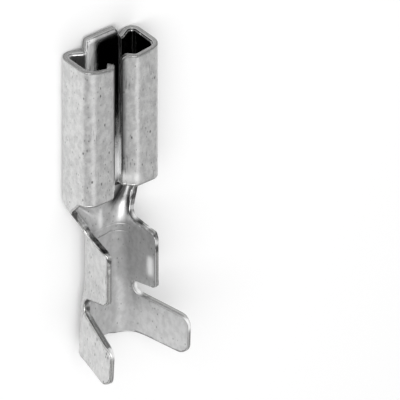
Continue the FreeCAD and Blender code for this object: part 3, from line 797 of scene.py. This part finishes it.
def surfaceRoughness(tree, f):
    # mottled outside, duller inside the barrels than in the neck, smoother where the shade deep in the
    # receptacle and the shine on the pad are painted
    outer = ramp(tree, f["mottle"], *ramps["roughness"])
    inner = ramp(tree, f["station"], *zones["barrels"], *ramps["insideRoughness"])
    smoother = ramp(tree, combined(tree, "MAXIMUM", f["room"], f["paintedShine"]), *ramps["smoother"])
    faces = mixed(tree, f["inside"], outer, combined(tree, "SUBTRACT", inner, smoother))
    return mixed(tree, f["edge"], faces, ramp(tree, f["throughSheet"], *ramps["edgeRoughness"]))


def relief(tree, f, pit, scuff):
    # slow waves and fine grain one upon the other, then pits and scuffs cut into them
    heights = [
        (noise(tree, f["place"], tin["swellSize"], "slow"), "swell"),
        (noise(tree, f["drawn"], tin["waveSize"], "plain"), "wave"),
        (f["grain"], "grainRelief"), (combined(tree, "ADD", pit, scuff), "marks"),
    ]
    normal = {}
    for height, name in heights:
        strength, depth = tin[name]
        given = {"Height": height, "Strength": strength, "Distance": depth, **normal}
        made = node(tree, "ShaderNodeBump", given, invert=name == "marks")
        normal = {"Normal": made.outputs[0]}
    return normal["Normal"]


def tinMaterial():
    # tin plate: the faces with their marks, the cut edge over them, and the painted highlights over both,
    # which are less metallic, so that they stay bright whatever they mirror
    material = bpy.data.materials.new("tinPlate")
    material.use_nodes = True
    tree = material.node_tree
    f = surfaceFields(tree)
    colour, pit, scuff = withMarks(tree, f, faceColour(tree, f))
    colour = blended(tree, f["edge"], colour, cutColour(tree, f))
    # painted highlights and glints
    colour = blended(tree, f["paintedHighlightSpot"], colour, tin["brightColour"])
    matt = combined(tree, "MAXIMUM", f["paintedHighlightSpot"], times(tree, f["paintedShine"], tin["shineMatt"]))
    found = {"Base Color": colour, "Metallic": ramp(tree, matt, *ramps["metallic"]),
             "Roughness": surfaceRoughness(tree, f), "Normal": relief(tree, f, pit, scuff)}
    for name, socket in found.items():
        tree.links.new(socket, tree.nodes["Principled BSDF"].inputs[name])
    return material


terminal.data.materials.append(tinMaterial())
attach(terminal, "root")
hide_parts("terminal_body")
print("finish of the strip made")

# Floor, light and camera, in metres; the directions are those of the photograph's camera
studio = {
    "floorColour": (0.97, 0.97, 0.97), "floorSize": 0.5, "floorRoughness": 0.9, "floorGloss": 0.1,
    "roomColour": (0.64, 0.64, 0.64), "brightColour": (1.15, 1.15, 1.15), "belowColour": (1.0, 1.0, 1.0),
    "brightSide": (0.0, 0.55, 0.83), "brightFrom": 0.915, "brightTo": 0.99, "horizon": (-0.01, -0.05),
    "worldStrength": 1.0,
    "lightTowards": (0.6, -0.35, 0.75), "lightDistance": 0.25, "lightSize": 0.20, "lightPower": 0.40,
    "widthSeen": 0.015385, "distance": 0.30, "clip": (0.01, 10),
    "back": (0.5135, -0.5519, 0.657), "right": (-0.788, 0.0, 0.6157), "up": (-0.3398, -0.8339, -0.4349),
    "aim": (-0.002938, 0.000567, 0.002772),
}


def makeFloor():
    # a pale matt square under the part
    half = studio["floorSize"] / 2
    mesh = bpy.data.meshes.new("paleFloor")
    corners = [(-half, -half, 0), (half, -half, 0), (half, half, 0), (-half, half, 0)]
    mesh.from_pydata(corners, [], [(0, 1, 2, 3)])
    floor = bpy.data.objects.new("paleFloor", mesh)
    bpy.context.scene.collection.objects.link(floor)
    material = bpy.data.materials.new("palePaper")
    material.use_nodes = True
    shader = material.node_tree.nodes["Principled BSDF"]
    shader.inputs["Base Color"].default_value = (*studio["floorColour"], 1)
    shader.inputs["Roughness"].default_value = studio["floorRoughness"]
    shader.inputs["Specular IOR Level"].default_value = studio["floorGloss"]
    mesh.materials.append(material)


def makeWorld():
    # an even pale room with one softly brighter side, which draws the bends of the metal, and white under
    # the horizon, so that a low view past the floor's edge stays pale
    world = bpy.data.worlds.new("studioWorld")
    bpy.context.scene.world = world
    world.use_nodes = True
    tree = world.node_tree
    direction = node(tree, "ShaderNodeTexCoord").outputs["Generated"]
    towards = Vector(studio["brightSide"]).normalized()
    facing = node(tree, "ShaderNodeVectorMath", {0: direction, 1: towards}, operation="DOT_PRODUCT")
    height = node(tree, "ShaderNodeSeparateXYZ", {0: direction}).outputs[2]
    shade = ramp(tree, facing.outputs["Value"], studio["brightFrom"], studio["brightTo"])
    sky = blended(tree, shade, studio["roomColour"], studio["brightColour"])
    sky = blended(tree, ramp(tree, height, *studio["horizon"]), sky, studio["belowColour"])
    tree.links.new(sky, tree.nodes["Background"].inputs["Color"])
    tree.nodes["Background"].inputs["Strength"].default_value = studio["worldStrength"]


def makeLight():
    # a square soft light that stands in the given direction and faces the part
    light = bpy.data.lights.new("keySoftbox", "AREA")
    light.shape, light.size, light.energy = "SQUARE", studio["lightSize"], studio["lightPower"]
    lamp = bpy.data.objects.new("keySoftbox", light)
    direction = Vector(studio["lightTowards"]).normalized()
    lamp.location = direction * studio["lightDistance"]
    lamp.rotation_euler = direction.to_track_quat("Z", "Y").to_euler()
    bpy.context.scene.collection.objects.link(lamp)


def makeCamera():
    # a camera without perspective, as the photograph's long lens has next to none: its axes are the three
    # given directions, and it stands back from the point it aims at
    camera = bpy.data.cameras.new("camera")
    camera.type = "ORTHO"
    camera.ortho_scale = studio["widthSeen"]
    camera.clip_start, camera.clip_end = studio["clip"]
    holder = bpy.data.objects.new("camera", camera)
    right, up, back = (Vector(studio[k]).normalized() for k in ("right", "up", "back"))
    turn = Matrix((right, up, back)).transposed().to_4x4()
    holder.matrix_world = Matrix.Translation(Vector(studio["aim"]) + back * studio["distance"]) @ turn
    bpy.context.scene.collection.objects.link(holder)
    bpy.context.scene.camera = holder


makeFloor()
makeWorld()
makeLight()
makeCamera()
bpy.context.scene.view_settings.view_transform = "Standard"
print("floor, light and camera made")
